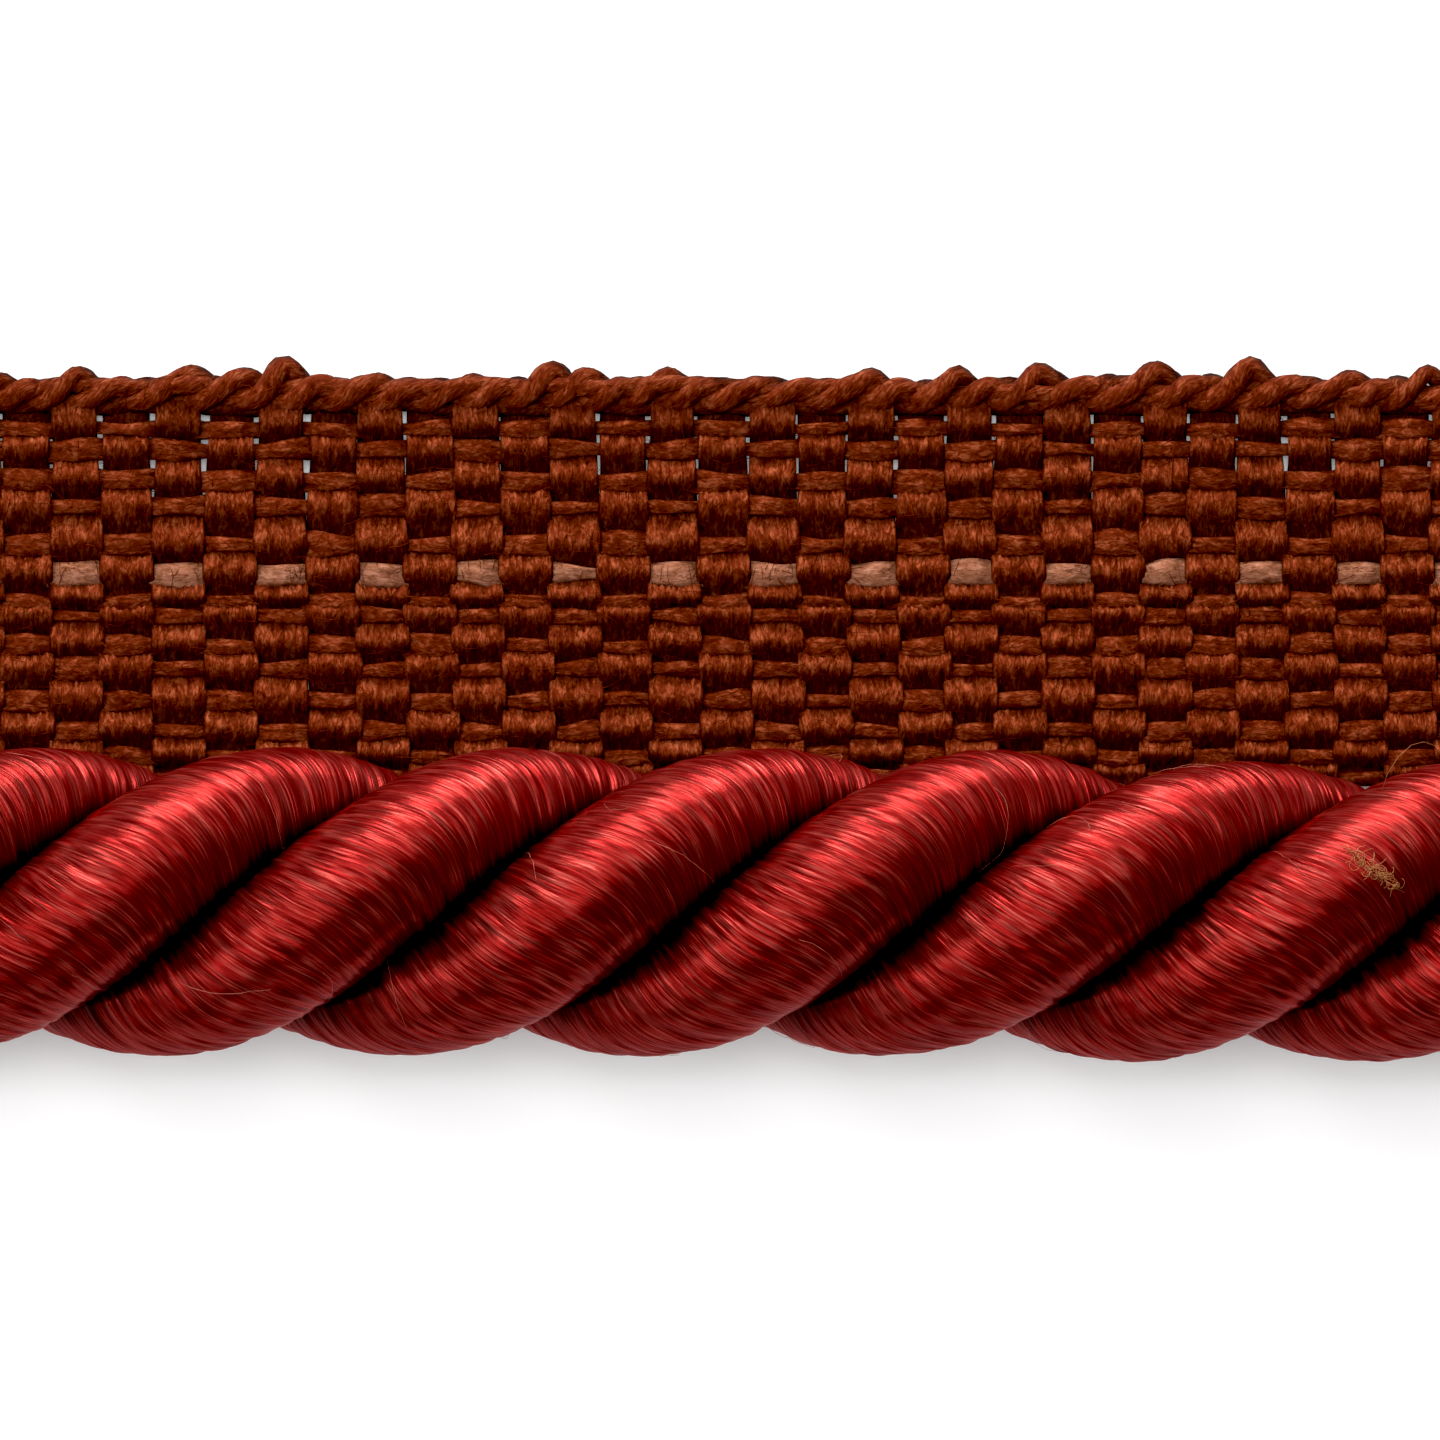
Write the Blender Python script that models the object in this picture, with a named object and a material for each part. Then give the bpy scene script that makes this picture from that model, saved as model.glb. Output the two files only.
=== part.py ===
"""Twisted cord trim: a three-ply satin cord sewn along the lower edge of a woven tape.

Frame, in metres: X runs along the trim, Y from the cord towards the tape's looped selvedge, Z up.
The trim lies on Z = 0, and the origin is the middle of its bounding box at that height.
The cord is a right-angled cut of three whole turns, so both ends show the same three plies.
"""

import math

import bmesh
import bpy

MM = 0.001

# Cord
LAY = 22.6 * MM
TURNS = 3
LENGTH = TURNS * LAY
CORD_RADIUS = 4.78 * MM
FLAT_SPOT = 0.15 * MM
CORD_Y = -6.11 * MM
CORD_Z = CORD_RADIUS - FLAT_SPOT
GROOVE_X = -2.62 * MM

# One ply, seen along the cord: a wide arc, rounded into two straight walls that meet its neighbours
PLIES = 3
ARC_CENTRE = 1.66 * MM
ARC_HALF_ANGLE = math.radians(50)
ARC_POINTS = 9
GROOVE_RADIUS = 3.62 * MM
WALL_RADIUS = 2.9 * MM
CORNER_POINTS = 3
CORE_FLAT = 0.35 * MM
HALF_GAP = 0.18 * MM
STEPS_PER_TURN = 24

# Tape
TAPE_THICKNESS = 1.0 * MM
TAPE_CHAMFER = 0.15 * MM
TUCK = 3.6 * MM
SELVEDGE_Y = 10.17 * MM
TAPE_STEP = 0.5 * MM
LOOP_HALF_WIDTH = 1.15 * MM

# Where the cord wanders along its run: place along X, sideways shift, and how full it is
CORD_RUN = (
    {"x": -34.0 * MM, "shift": 0.0, "fullness": 1.0},
    {"x": 6.0 * MM, "shift": 0.0, "fullness": 1.0},
    {"x": 15.5 * MM, "shift": -0.28 * MM, "fullness": 0.975},
    {"x": 34.0 * MM, "shift": -0.28 * MM, "fullness": 0.975},
)

# The selvedge's yarn loops: place along X, and how far each stands out past the dips between them
LOOPS = (
    {"x": -20.25 * MM, "rise": 0.66 * MM},
    {"x": -16.66 * MM, "rise": 0.60 * MM},
    {"x": -15.00 * MM, "rise": 0.47 * MM},
    {"x": -13.69 * MM, "rise": 0.88 * MM},
    {"x": -10.78 * MM, "rise": 0.38 * MM},
    {"x": -7.81 * MM, "rise": 0.41 * MM},
    {"x": -5.34 * MM, "rise": 0.69 * MM},
    {"x": -4.06 * MM, "rise": 0.53 * MM},
    {"x": -1.63 * MM, "rise": 0.56 * MM},
    {"x": 1.25 * MM, "rise": 0.31 * MM},
    {"x": 4.78 * MM, "rise": 0.53 * MM},
    {"x": 7.50 * MM, "rise": 0.59 * MM},
    {"x": 10.00 * MM, "rise": 0.66 * MM},
    {"x": 13.75 * MM, "rise": 0.75 * MM},
    {"x": 16.63 * MM, "rise": 0.88 * MM},
    {"x": 19.88 * MM, "rise": 0.44 * MM},
)
LOOP_REPEAT = 42.5 * MM

MATERIALS = {
    "cord_red": {"colour": (0.24, 0.008, 0.010), "roughness": 0.35},
    "tape_brown": {"colour": (0.16, 0.035, 0.010), "roughness": 0.75},
}


def clear_scene():
    for item in list(bpy.data.objects):
        bpy.data.objects.remove(item, do_unlink=True)


def make_material(name):
    finish = MATERIALS[name]
    material = bpy.data.materials.new(name)
    material.use_nodes = True
    shader = material.node_tree.nodes["Principled BSDF"]
    shader.inputs["Base Color"].default_value = (*finish["colour"], 1.0)
    shader.inputs["Roughness"].default_value = finish["roughness"]
    shader.inputs["Metallic"].default_value = 0.0
    return material


def loft(name, rings, material):
    """Close a row of matching rings, each a list of points, into one body with flat ends."""
    mesh = bpy.data.meshes.new(name)
    form = bmesh.new()
    rows = [[form.verts.new(point) for point in ring] for ring in rings]
    count = len(rows[0])
    for near, far in zip(rows, rows[1:]):
        for i in range(count):
            j = (i + 1) % count
            form.faces.new((near[i], near[j], far[j], far[i]))
    form.faces.new(rows[0])
    form.faces.new(rows[-1])
    bmesh.ops.triangulate(form, faces=form.faces[:])
    bmesh.ops.recalc_face_normals(form, faces=form.faces[:])
    form.to_mesh(mesh)
    form.free()
    mesh.shade_smooth()
    mesh.set_sharp_from_angle(angle=math.radians(40))
    mesh.materials.append(material)
    item = bpy.data.objects.new(name, mesh)
    bpy.context.scene.collection.objects.link(item)
    return item


def cord_run(x, column):
    """Ease one column of CORD_RUN from row to row."""
    for low, high in zip(CORD_RUN, CORD_RUN[1:]):
        if x <= high["x"]:
            t = max(0.0, (x - low["x"]) / (high["x"] - low["x"]))
            ease = t * t * (3 - 2 * t)
            return low[column] + (high[column] - low[column]) * ease
    return CORD_RUN[-1][column]


def wall_point(radius):
    """A point of a ply's side wall, set back so that neighbours stay apart measured across the twist."""
    slope = 2 * math.pi * radius / LAY
    set_back = HALF_GAP * math.sqrt(1 + slope * slope)
    half_sector = math.pi / PLIES
    radial = radius * math.cos(half_sector) + set_back * math.sin(half_sector)
    across = radius * math.sin(half_sector) - set_back * math.cos(half_sector)
    return radial, across


def ply_section():
    """Half of it is worked out, as (radial, across) pairs from the crest to the core, and then mirrored."""
    arc_radius = CORD_RADIUS - ARC_CENTRE
    half = []
    middle = (ARC_POINTS - 1) // 2
    for i in range(1, middle + 1):
        angle = ARC_HALF_ANGLE * i / middle
        # The angle at the arc's own centre that a ray from the cord's axis at this angle meets
        own = angle + math.asin(ARC_CENTRE * math.sin(angle) / arc_radius)
        half.append((ARC_CENTRE + arc_radius * math.cos(own), arc_radius * math.sin(own)))
    start = half[-1]
    corner = wall_point(GROOVE_RADIUS)
    end = wall_point(WALL_RADIUS)
    for i in range(1, CORNER_POINTS + 1):
        t = i / CORNER_POINTS
        weights = ((1 - t) ** 2, 2 * t * (1 - t), t * t)
        half.append(tuple(sum(w * p[axis] for w, p in zip(weights, (start, corner, end))) for axis in (0, 1)))
    half.append(wall_point(CORE_FLAT / math.cos(math.pi / PLIES)))
    mirrored = [(radial, -across) for radial, across in reversed(half)]
    return mirrored + [(CORD_RADIUS, 0.0)] + half


def make_ply(number, material):
    """One ply: its section swept along X while it turns; the lowest crests are pressed flat on Z = 0."""
    polar = [(math.hypot(radial, across), math.atan2(across, radial)) for radial, across in ply_section()]
    first = math.pi / PLIES + number * 2 * math.pi / PLIES
    steps = TURNS * STEPS_PER_TURN
    rings = []
    for step in range(steps + 1):
        x = -LENGTH / 2 + LENGTH * step / steps
        turn = first - 2 * math.pi * (x - GROOVE_X) / LAY
        centre_y = CORD_Y + cord_run(x, "shift")
        fullness = cord_run(x, "fullness")
        ring = []
        for radius, angle in polar:
            y = centre_y + fullness * radius * math.cos(turn + angle)
            z = CORD_Z + fullness * radius * math.sin(turn + angle)
            ring.append((x, y, max(z, 0.0)))
        rings.append(ring)
    return loft(f"ply_{number + 1}", rings, material)


def selvedge_rise(x):
    """How far the looped selvedge reaches past its dips; the seen loops repeat towards both ends."""
    rise = 0.0
    for repeat in (-1, 0, 1):
        for loop in LOOPS:
            off = abs(x - loop["x"] - repeat * LOOP_REPEAT) / LOOP_HALF_WIDTH
            if off < 1:
                rise = max(rise, loop["rise"] * math.cos(off * math.pi / 2) ** 0.8)
    return rise


def make_tape(material):
    """The woven lip as one slab: flat faces, an edge tucked under the cord and a looped selvedge."""
    steps = round(LENGTH / TAPE_STEP)
    rings = []
    for step in range(steps + 1):
        x = -LENGTH / 2 + LENGTH * step / steps
        low = CORD_Y + cord_run(x, "shift") + TUCK * cord_run(x, "fullness")
        high = SELVEDGE_Y + selvedge_rise(x)
        rings.append(
            [
                (x, low, 0.0),
                (x, low, TAPE_THICKNESS - TAPE_CHAMFER),
                (x, low + TAPE_CHAMFER, TAPE_THICKNESS),
                (x, high - TAPE_CHAMFER, TAPE_THICKNESS),
                (x, high, TAPE_THICKNESS - TAPE_CHAMFER),
                (x, high, TAPE_CHAMFER),
                (x, high - TAPE_CHAMFER, 0.0),
            ]
        )
    return loft("tape", rings, material)


def main():
    clear_scene()
    red = make_material("cord_red")
    brown = make_material("tape_brown")
    for number in range(PLIES):
        make_ply(number, red)
    make_tape(brown)


main()
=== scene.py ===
"""Looks of the twisted cord trim: satin-wrapped plies, a woven lip and its looped selvedge.

Everything is in metres in the part's own frame: X along the trim, Y towards the selvedge, Z up.
The plies and yarns are numpy grids swept along their paths, with each strand's own ridge in the mesh.
"""

import math

import bpy
import numpy as np
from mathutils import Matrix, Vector
from mathutils.bvhtree import BVHTree


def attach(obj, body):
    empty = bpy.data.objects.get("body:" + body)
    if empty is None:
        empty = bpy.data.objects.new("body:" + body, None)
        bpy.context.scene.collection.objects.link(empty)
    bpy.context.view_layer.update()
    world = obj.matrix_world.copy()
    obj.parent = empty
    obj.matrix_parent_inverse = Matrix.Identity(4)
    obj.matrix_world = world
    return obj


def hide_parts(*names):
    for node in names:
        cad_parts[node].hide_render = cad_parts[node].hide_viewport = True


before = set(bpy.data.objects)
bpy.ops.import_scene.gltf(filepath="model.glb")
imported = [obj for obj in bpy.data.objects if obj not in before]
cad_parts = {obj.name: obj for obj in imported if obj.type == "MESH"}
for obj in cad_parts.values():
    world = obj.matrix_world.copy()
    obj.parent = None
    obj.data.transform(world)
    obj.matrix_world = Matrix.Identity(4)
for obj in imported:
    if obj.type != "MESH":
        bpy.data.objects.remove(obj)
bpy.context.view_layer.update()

MM = 0.001

# The camera looks straight down on the stretch that the photo shows
FRAME_WIDTH = 45.0 * MM
CAMERA_HEIGHT = 600.0 * MM
CAMERA_Y = -0.42 * MM
FOCUS_HEIGHT = 4.7 * MM
SENSOR = 36.0

# Cord, as in the part's source
LAY = 22.6 * MM
TURNS = 3
LENGTH = TURNS * LAY
HALF_LENGTH = LENGTH / 2
CORD_RADIUS = 4.78 * MM
FLAT_SPOT = 0.15 * MM
CORD_Y = -6.11 * MM
CORD_Z = CORD_RADIUS - FLAT_SPOT
GROOVE_X = -2.44 * MM
PLIES = 3
PLY_CENTRE = 2.35 * MM
PLY_HALF_WIDTH = 2.84 * MM
GROOVE_RADIUS = 2.7 * MM
WALL_RADIUS = 2.2 * MM
CORD_RUN = (
    {"x": -34.0 * MM, "shift": 0.0, "fullness": 1.0},
    {"x": 6.0 * MM, "shift": 0.0, "fullness": 1.0},
    {"x": 15.5 * MM, "shift": -0.28 * MM, "fullness": 0.975},
    {"x": 34.0 * MM, "shift": -0.28 * MM, "fullness": 0.975},
)

# The dressed plies press together, where the solids keep a gap
HALF_GAP = 0.03 * MM
CORE_FLAT = 0.12 * MM
ARC_HALF_TURN = math.radians(100)
ARC_COLUMNS = 31
CORNER_COLUMNS = 3

# Wrap strands on a ply: width along X, mesh rows for each, and how they lean across the ply
STRAND_STEP = 0.094 * MM
ROWS_PER_STRAND = 3
WRAP_LEAN = 0.544
WRAP_BOW = 0.1135
WRAP_DROOP = 0.2015
LEAN_ANGLE = math.radians(45)
END_EASE = 6.0 * MM
STRAYS_PER_PLY = 20
STRAY_POINTS = 12
# Painted shade on the plies: the radii from the cord's axis over which a ply goes from dark to lit, the jag
# of that edge, and how much further out the dark reaches on the ply's far side
SHADE_LOW = 2.9 * MM
SHADE_HIGH = 4.0 * MM
SHADE_JAG = 0.20 * MM
SHADED_SIDE = 0.35 * MM

# Lint on the cord
TUFT_START = (19.3 * MM, -4.35 * MM)
TUFT_END = (21.2 * MM, -5.75 * MM)
TUFT_FIBRES = 80
TUFT_POINTS = 10
LONG_HAIR = (
    (20.53 * MM, -2.80 * MM, 7.6 * MM),
    (20.75 * MM, -2.10 * MM, 7.7 * MM),
    (21.10 * MM, -1.55 * MM, 7.7 * MM),
    (21.50 * MM, -1.20 * MM, 7.6 * MM),
    (21.90 * MM, -1.10 * MM, 7.4 * MM),
    (22.25 * MM, -1.22 * MM, 7.1 * MM),
    (22.60 * MM, -1.55 * MM, 6.9 * MM),
    (22.85 * MM, -2.10 * MM, 6.9 * MM),
)

# Tape
WEFT_PITCH = 1.549 * MM
WEFT_START = -22.5 * MM
TAPE_LOW = CORD_Y + 3.6 * MM
WEFT_TOP = 9.95 * MM
SELVEDGE_Y = 10.17 * MM
HIGH_LEVEL = 0.82 * MM
LOW_LEVEL = 0.24 * MM
WEFT_LEAN = 0.15 * MM
# Painted light and shade on the weft: how far its lit side is moved towards +Y, the heights over which it
# goes from dark to lit, and the jag of that edge
WEFT_SHADE_SHIFT = 0.24 * MM
WEFT_SHADE = (0.36 * MM, 0.74 * MM)
WEFT_JAG = 0.13 * MM
FUZZ_COUNT = 3900
FUZZ_POINTS = 4
# Painted shade on the tape: the darkest a yarn is painted, and the heights over which warp and edge yarns go
# from dark to lit
TAPE_DIM = 0.33
WARP_SHADE = (0.30 * MM, 0.80 * MM)
EDGE_SHADE = (0.38 * MM, 0.86 * MM)
WEFT_STRANDS = 9
WEFT_STEPS = 84
WARP_STRANDS = 3
WARP_STEPS = 340

# Where the bundles across the tape wander: place along X, shift near the selvedge, shift near the cord
WEFT_WANDER = (
    {"x": -21.7 * MM, "high": -0.10 * MM, "low": -0.05 * MM},
    {"x": -18.5 * MM, "high": -0.08 * MM, "low": -0.02 * MM},
    {"x": -15.5 * MM, "high": 0.13 * MM, "low": 0.15 * MM},
    {"x": -12.4 * MM, "high": 0.25 * MM, "low": 0.31 * MM},
    {"x": -9.3 * MM, "high": 0.19 * MM, "low": 0.31 * MM},
    {"x": -6.2 * MM, "high": 0.08 * MM, "low": 0.20 * MM},
    {"x": -3.1 * MM, "high": 0.08 * MM, "low": 0.20 * MM},
    {"x": 3.1 * MM, "high": 0.15 * MM, "low": 0.35 * MM},
    {"x": 9.3 * MM, "high": 0.15 * MM, "low": 0.20 * MM},
    {"x": 15.5 * MM, "high": 0.05 * MM, "low": 0.10 * MM},
    {"x": 21.6 * MM, "high": -0.05 * MM, "low": 0.10 * MM},
)

# Warp threads from the selvedge to the cord: place across the tape and half width of the float
WARP_ROWS = (
    {"y": 8.73 * MM, "half": 0.26 * MM},
    {"y": 8.07 * MM, "half": 0.30 * MM},
    {"y": 7.10 * MM, "half": 0.34 * MM},
    {"y": 6.28 * MM, "half": 0.28 * MM},
    {"y": 5.08 * MM, "half": 0.34 * MM},
    {"y": 4.17 * MM, "half": 0.33 * MM},
    {"y": 3.28 * MM, "half": 0.24 * MM},
    {"y": 2.86 * MM, "half": 0.22 * MM},
    {"y": 1.91 * MM, "half": 0.30 * MM},
    {"y": 1.18 * MM, "half": 0.30 * MM},
    {"y": 0.18 * MM, "half": 0.28 * MM},
    {"y": -0.80 * MM, "half": 0.28 * MM},
    {"y": -1.62 * MM, "half": 0.30 * MM},
    {"y": -2.25 * MM, "half": 0.22 * MM},
)
PALE_ROW = 5

# The selvedge's yarn loops, as in the part's source
LOOPS = (
    {"x": -20.25 * MM, "rise": 0.66 * MM},
    {"x": -16.66 * MM, "rise": 0.60 * MM},
    {"x": -15.00 * MM, "rise": 0.47 * MM},
    {"x": -13.69 * MM, "rise": 0.88 * MM},
    {"x": -10.78 * MM, "rise": 0.38 * MM},
    {"x": -7.81 * MM, "rise": 0.41 * MM},
    {"x": -5.34 * MM, "rise": 0.69 * MM},
    {"x": -4.06 * MM, "rise": 0.53 * MM},
    {"x": -1.63 * MM, "rise": 0.56 * MM},
    {"x": 1.25 * MM, "rise": 0.31 * MM},
    {"x": 4.78 * MM, "rise": 0.53 * MM},
    {"x": 7.50 * MM, "rise": 0.59 * MM},
    {"x": 10.00 * MM, "rise": 0.66 * MM},
    {"x": 13.75 * MM, "rise": 0.75 * MM},
    {"x": 16.63 * MM, "rise": 0.88 * MM},
    {"x": 19.88 * MM, "rise": 0.44 * MM},
)
LOOP_REPEAT = 42.5 * MM
YARN_COLUMNS = 14
EDGE_Y = 9.92 * MM
EDGE_RADIUS = 0.34 * MM
EDGE_DIP = 0.32 * MM
LONG_GAP = 2.2 * MM
FILLERS = (
    {"y": 9.98 * MM, "z": 0.55 * MM, "radius": 0.28 * MM, "sway": 0.16 * MM, "heave": 0.24 * MM},
    {"y": 9.46 * MM, "z": 0.34 * MM, "radius": 0.28 * MM, "sway": 0.10 * MM, "heave": 0.04 * MM},
)

# The white table glows a little, which keeps shadows on it short and pale
FLOOR_GLOW = 0.15
BLACK_LEVEL = 0.006


def make_camera():
    data = bpy.data.cameras.new("camera")
    data.sensor_width = SENSOR
    data.lens = SENSOR * (CAMERA_HEIGHT - FOCUS_HEIGHT) / FRAME_WIDTH
    data.clip_start = 0.01
    data.clip_end = 10.0
    camera = bpy.data.objects.new("camera", data)
    camera.location = (0.0, CAMERA_Y, CAMERA_HEIGHT)
    bpy.context.scene.collection.objects.link(camera)
    bpy.context.scene.camera = camera


def smooth_noise(random, u, v):
    """Random values on a unit lattice, eased between its points; u and v are arrays of one shape."""
    u = u - u.min()
    v = v - v.min()
    lattice = random.uniform(-1, 1, (int(u.max()) + 2, int(v.max()) + 2))
    low_u = np.floor(u).astype(int)
    low_v = np.floor(v).astype(int)
    part_u = u - low_u
    part_v = v - low_v
    part_u = part_u * part_u * (3 - 2 * part_u)
    part_v = part_v * part_v * (3 - 2 * part_v)
    near = lattice[low_u, low_v] * (1 - part_v) + lattice[low_u, low_v + 1] * part_v
    far = lattice[low_u + 1, low_v] * (1 - part_v) + lattice[low_u + 1, low_v + 1] * part_v
    return near * (1 - part_u) + far * part_u


def ease(value, low, high):
    t = np.clip((value - low) / (high - low), 0, 1)
    return t * t * (3 - 2 * t)


def cord_run(x, column):
    """Ease one column of CORD_RUN from row to row, for an array of places along X."""
    value = np.full(np.shape(x), CORD_RUN[0][column])
    for low, high in zip(CORD_RUN, CORD_RUN[1:]):
        value = value + (high[column] - low[column]) * ease(x, low["x"], high["x"])
    return value


class Tubes:
    """Gathers closed tubes, each a grid of points, and makes one mesh of them."""

    def __init__(self):
        self.points = []
        self.faces = []
        self.coordinates = []
        self.slots = []
        self.count = 0

    def add(self, grid, along, around, slot=0, end_slot=None):
        """grid is rows by columns by 3; along and around are its texture coordinates, a column longer."""
        rows, columns = grid.shape[:2]
        near = np.arange(rows * columns).reshape(rows, columns)
        wrapped = np.concatenate([near, near[:, :1]], axis=1)
        corners = (
            (slice(0, -1), slice(0, -1)),
            (slice(0, -1), slice(1, None)),
            (slice(1, None), slice(1, None)),
            (slice(1, None), slice(0, -1)),
        )
        quads = np.stack([wrapped[c].ravel() for c in corners], axis=1)
        texture = np.stack(
            [np.stack([along[c].ravel(), around[c].ravel()], axis=1) for c in corners], axis=1
        )
        points = grid.reshape(-1, 3)
        a, b, c, d = (points[quads[:, i]] for i in range(4))
        volume = np.sum(np.cross(a, b) * c) + np.sum(np.cross(a, c) * d)
        if volume < 0:
            quads = quads[:, ::-1]
            texture = texture[:, ::-1]
        self.points.append(points)
        self.faces += (quads + self.count).tolist()
        self.coordinates.append(texture.reshape(-1, 2))
        self.slots += [slot] * len(quads)
        start = self.count
        self.count += rows * columns
        for ring, flip in ((near[0], volume >= 0), (near[-1], volume < 0)):
            self.cap(ring + start, points[ring], flip, slot if end_slot is None else end_slot)

    def cap(self, ring, rim, flip, slot):
        """Close an end with a slightly domed fan."""
        middle = rim.mean(axis=0)
        self.points.append(middle[None, :])
        centre = self.count
        self.count += 1
        for i, here in enumerate(ring):
            after = ring[(i + 1) % len(ring)]
            face = [int(here), int(after), centre]
            self.faces.append(face[::-1] if flip else face)
            self.slots.append(slot)
            corners = [rim[i], rim[(i + 1) % len(ring)], middle]
            if flip:
                corners.reverse()
            self.coordinates.append(np.array([[p[1], p[2]] for p in corners]) / MM)

    def build(self, name, materials, shade):
        """shade is painted shade: how much light is taken to reach each point, from 0 to 1, which darkens the
        colour.
        """
        mesh = bpy.data.meshes.new(name)
        mesh.from_pydata(np.concatenate(self.points).tolist(), [], self.faces)
        layer = mesh.uv_layers.new(name="strand")
        layer.data.foreach_set("uv", np.concatenate(self.coordinates).astype(np.float32).ravel())
        shade_layer = mesh.attributes.new("shade", "FLOAT", "POINT")
        shade_layer.data.foreach_set("value", shade.astype(np.float32))
        mesh.polygons.foreach_set("material_index", np.array(self.slots, dtype=np.int32))
        for material in materials:
            mesh.materials.append(material)
        mesh.shade_smooth()
        mesh.update()
        piece = bpy.data.objects.new(name, mesh)
        bpy.context.scene.collection.objects.link(piece)
        return piece


def wall_point(radius):
    slope = 2 * math.pi * radius / LAY
    set_back = HALF_GAP * math.sqrt(1 + slope * slope)
    half_sector = math.pi / PLIES
    radial = radius * math.cos(half_sector) + set_back * math.sin(half_sector)
    across = radius * math.sin(half_sector) - set_back * math.cos(half_sector)
    return radial, across


def ply_section():
    """The closed section of a ply as (radial, across) pairs, from one side of its core round to the other."""
    depth = CORD_RADIUS - PLY_CENTRE
    turns = np.linspace(0, ARC_HALF_TURN, (ARC_COLUMNS + 1) // 2)
    half = [(PLY_CENTRE + depth * math.cos(a), PLY_HALF_WIDTH * math.sin(a)) for a in turns]
    start = half[-1]
    corner = wall_point(GROOVE_RADIUS)
    end = wall_point(WALL_RADIUS)
    for i in range(1, CORNER_COLUMNS + 1):
        t = i / CORNER_COLUMNS
        weights = ((1 - t) ** 2, 2 * t * (1 - t), t * t)
        half.append(tuple(sum(w * p[axis] for w, p in zip(weights, (start, corner, end))) for axis in (0, 1)))
    half.append(wall_point(1.6 * MM))
    half.append(wall_point(CORE_FLAT / math.cos(math.pi / PLIES)))
    mirrored = [(radial, -across) for radial, across in reversed(half[1:])]
    return np.array(mirrored + half)


def wrap_lead(section):
    """How far along X a wrap strand has run at each point of the section, and the way round to it."""
    steps = np.linalg.norm(np.diff(section, axis=0), axis=1)
    way = np.concatenate([[0], np.cumsum(steps)])
    angle = np.arctan2(section[:, 1], section[:, 0]) / LEAN_ANGLE
    lean = WRAP_LEAN - WRAP_BOW * angle - WRAP_DROOP * angle * angle
    lead = np.concatenate([[0], np.cumsum((lean[1:] + lean[:-1]) / 2 * steps)])
    middle = len(section) // 2
    lead = lead - lead[middle]
    way = way - way[middle]
    radius = np.hypot(section[:, 0], section[:, 1])
    hidden = 1 - ease(radius, 1.0 * MM, 2.2 * MM)
    return lead * (1 - hidden) + 0.5 * (lead[0] + lead[-1]) * hidden, way


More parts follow.
